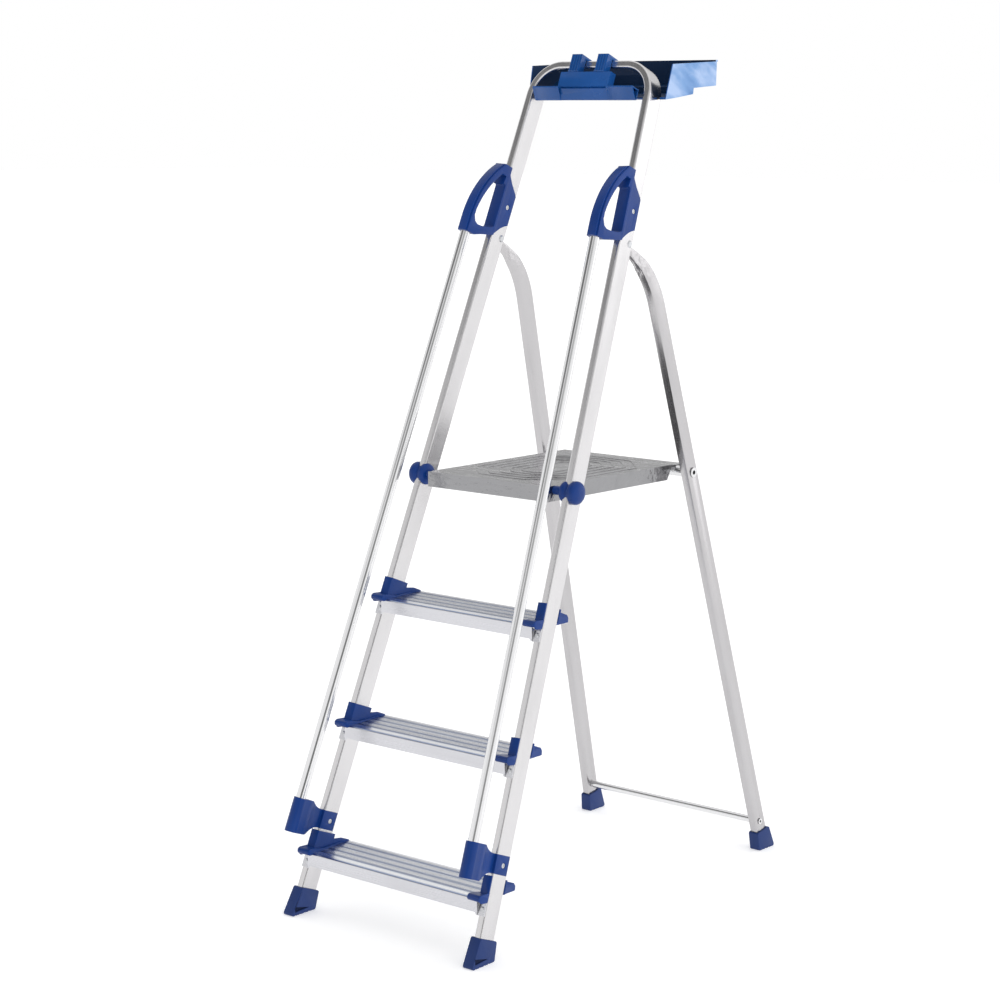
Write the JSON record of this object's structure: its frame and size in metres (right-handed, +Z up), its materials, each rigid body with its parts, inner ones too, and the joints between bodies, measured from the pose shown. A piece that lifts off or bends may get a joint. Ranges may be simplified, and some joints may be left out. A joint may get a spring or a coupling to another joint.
{
  "type": "step ladder",
  "caption": "Folding household step ladder with ribbed treads, a fold-down platform, side handrails with moulded handles, a rear support frame and a clip-on tool tray on its top hoop.",
  "frame": {"origin": "on the floor, below the centre of the whole outline", "axes": "+X to the ladder's left-to-right span, +Y from the climbing side to the rear frame, +Z up"},
  "size_m": [0.4622, 0.978, 1.5978],
  "materials": {
    "stile_aluminium": "satin anodised extrusion with faint draw lines",
    "rail_aluminium": "bright polished round tube",
    "tread_aluminium": "mill finish with anti-slip ribs",
    "moulded_blue": "fine-grained injection moulding",
    "foot_plastic": "soft non-slip moulding",
    "tray_plastic": "smooth translucent moulding",
    "zinc_steel": "zinc plated",
    "nylon": "natural nylon"
  },
  "bodies": {
    "front_frame": {"left_stile": "stile_aluminium", "right_stile": "stile_aluminium", "top_hoop": "stile_aluminium", "left_hoop_splice": "zinc_steel", "right_hoop_splice": "zinc_steel", "tread_1": "tread_aluminium", "tread_2": "tread_aluminium", "tread_3": "tread_aluminium", "tread_1_cap_left": "moulded_blue", "tread_1_cap_right": "moulded_blue", "tread_2_cap_left": "moulded_blue", "tread_2_cap_right": "moulded_blue", "tread_3_cap_left": "moulded_blue", "tread_3_cap_right": "moulded_blue", "tread_rivets": "zinc_steel", "left_handrail": "rail_aluminium", "right_handrail": "rail_aluminium", "left_handle": "moulded_blue", "right_handle": "moulded_blue", "left_rail_bracket": "moulded_blue", "right_rail_bracket": "moulded_blue", "handle_screws": "zinc_steel", "bracket_screws": "zinc_steel", "hinge_rivets": "zinc_steel", "hinge_washers": "nylon", "left_platform_saddle": "moulded_blue", "right_platform_saddle": "moulded_blue", "platform_pivot_pins": "zinc_steel", "pivot_spacers": "moulded_blue", "left_front_foot": "foot_plastic", "right_front_foot": "foot_plastic"},
    "rear_frame": {"left_rear_leg": "stile_aluminium", "right_rear_leg": "stile_aluminium", "support_tube": "rail_aluminium", "cross_bar": "rail_aluminium", "left_rear_foot": "foot_plastic", "right_rear_foot": "foot_plastic"},
    "platform": {"platform_deck": "tread_aluminium", "platform_bushes": "nylon"},
    "tray": {"tool_tray": "tray_plastic"},
    "left_clip_lever": {"left_clip": "tray_plastic"},
    "right_clip_lever": {"right_clip": "tray_plastic"}
  },
  "joints": [
    {"name": "rear_frame_fold", "type": "hinge", "parent": "front_frame", "child": "rear_frame", "pos_m": [0, 0.04456, 1.24534], "axis": [-1, 0, 0], "range_deg": [0, 36]},
    {"name": "platform_lift", "type": "hinge", "parent": "front_frame", "child": "platform", "pos_m": [0, -0.15116, 0.80477], "axis": [1, 0, 0], "range_deg": [0, 68.4]},
    {"name": "tray_unhook", "type": "slide", "parent": "front_frame", "child": "tray", "axis": [0, 0.36, 0.933], "range_m": [0, 0.018]},
    {"name": "left_clip_press", "type": "hinge", "parent": "tray", "child": "left_clip_lever", "pos_m": [-0.031, 0.11567, 1.56573], "axis": [1, 0, 0], "range_deg": [0, 8], "stiffness_Nm_per_rad": 0.5},
    {"name": "right_clip_press", "type": "hinge", "parent": "tray", "child": "right_clip_lever", "pos_m": [0.031, 0.11567, 1.56573], "axis": [1, 0, 0], "range_deg": [0, 8], "stiffness_Nm_per_rad": 0.5}
  ],
  "couplings": [
    {"joint": "platform_lift", "follows": "rear_frame_fold", "ratio": 1.9}
  ]
}
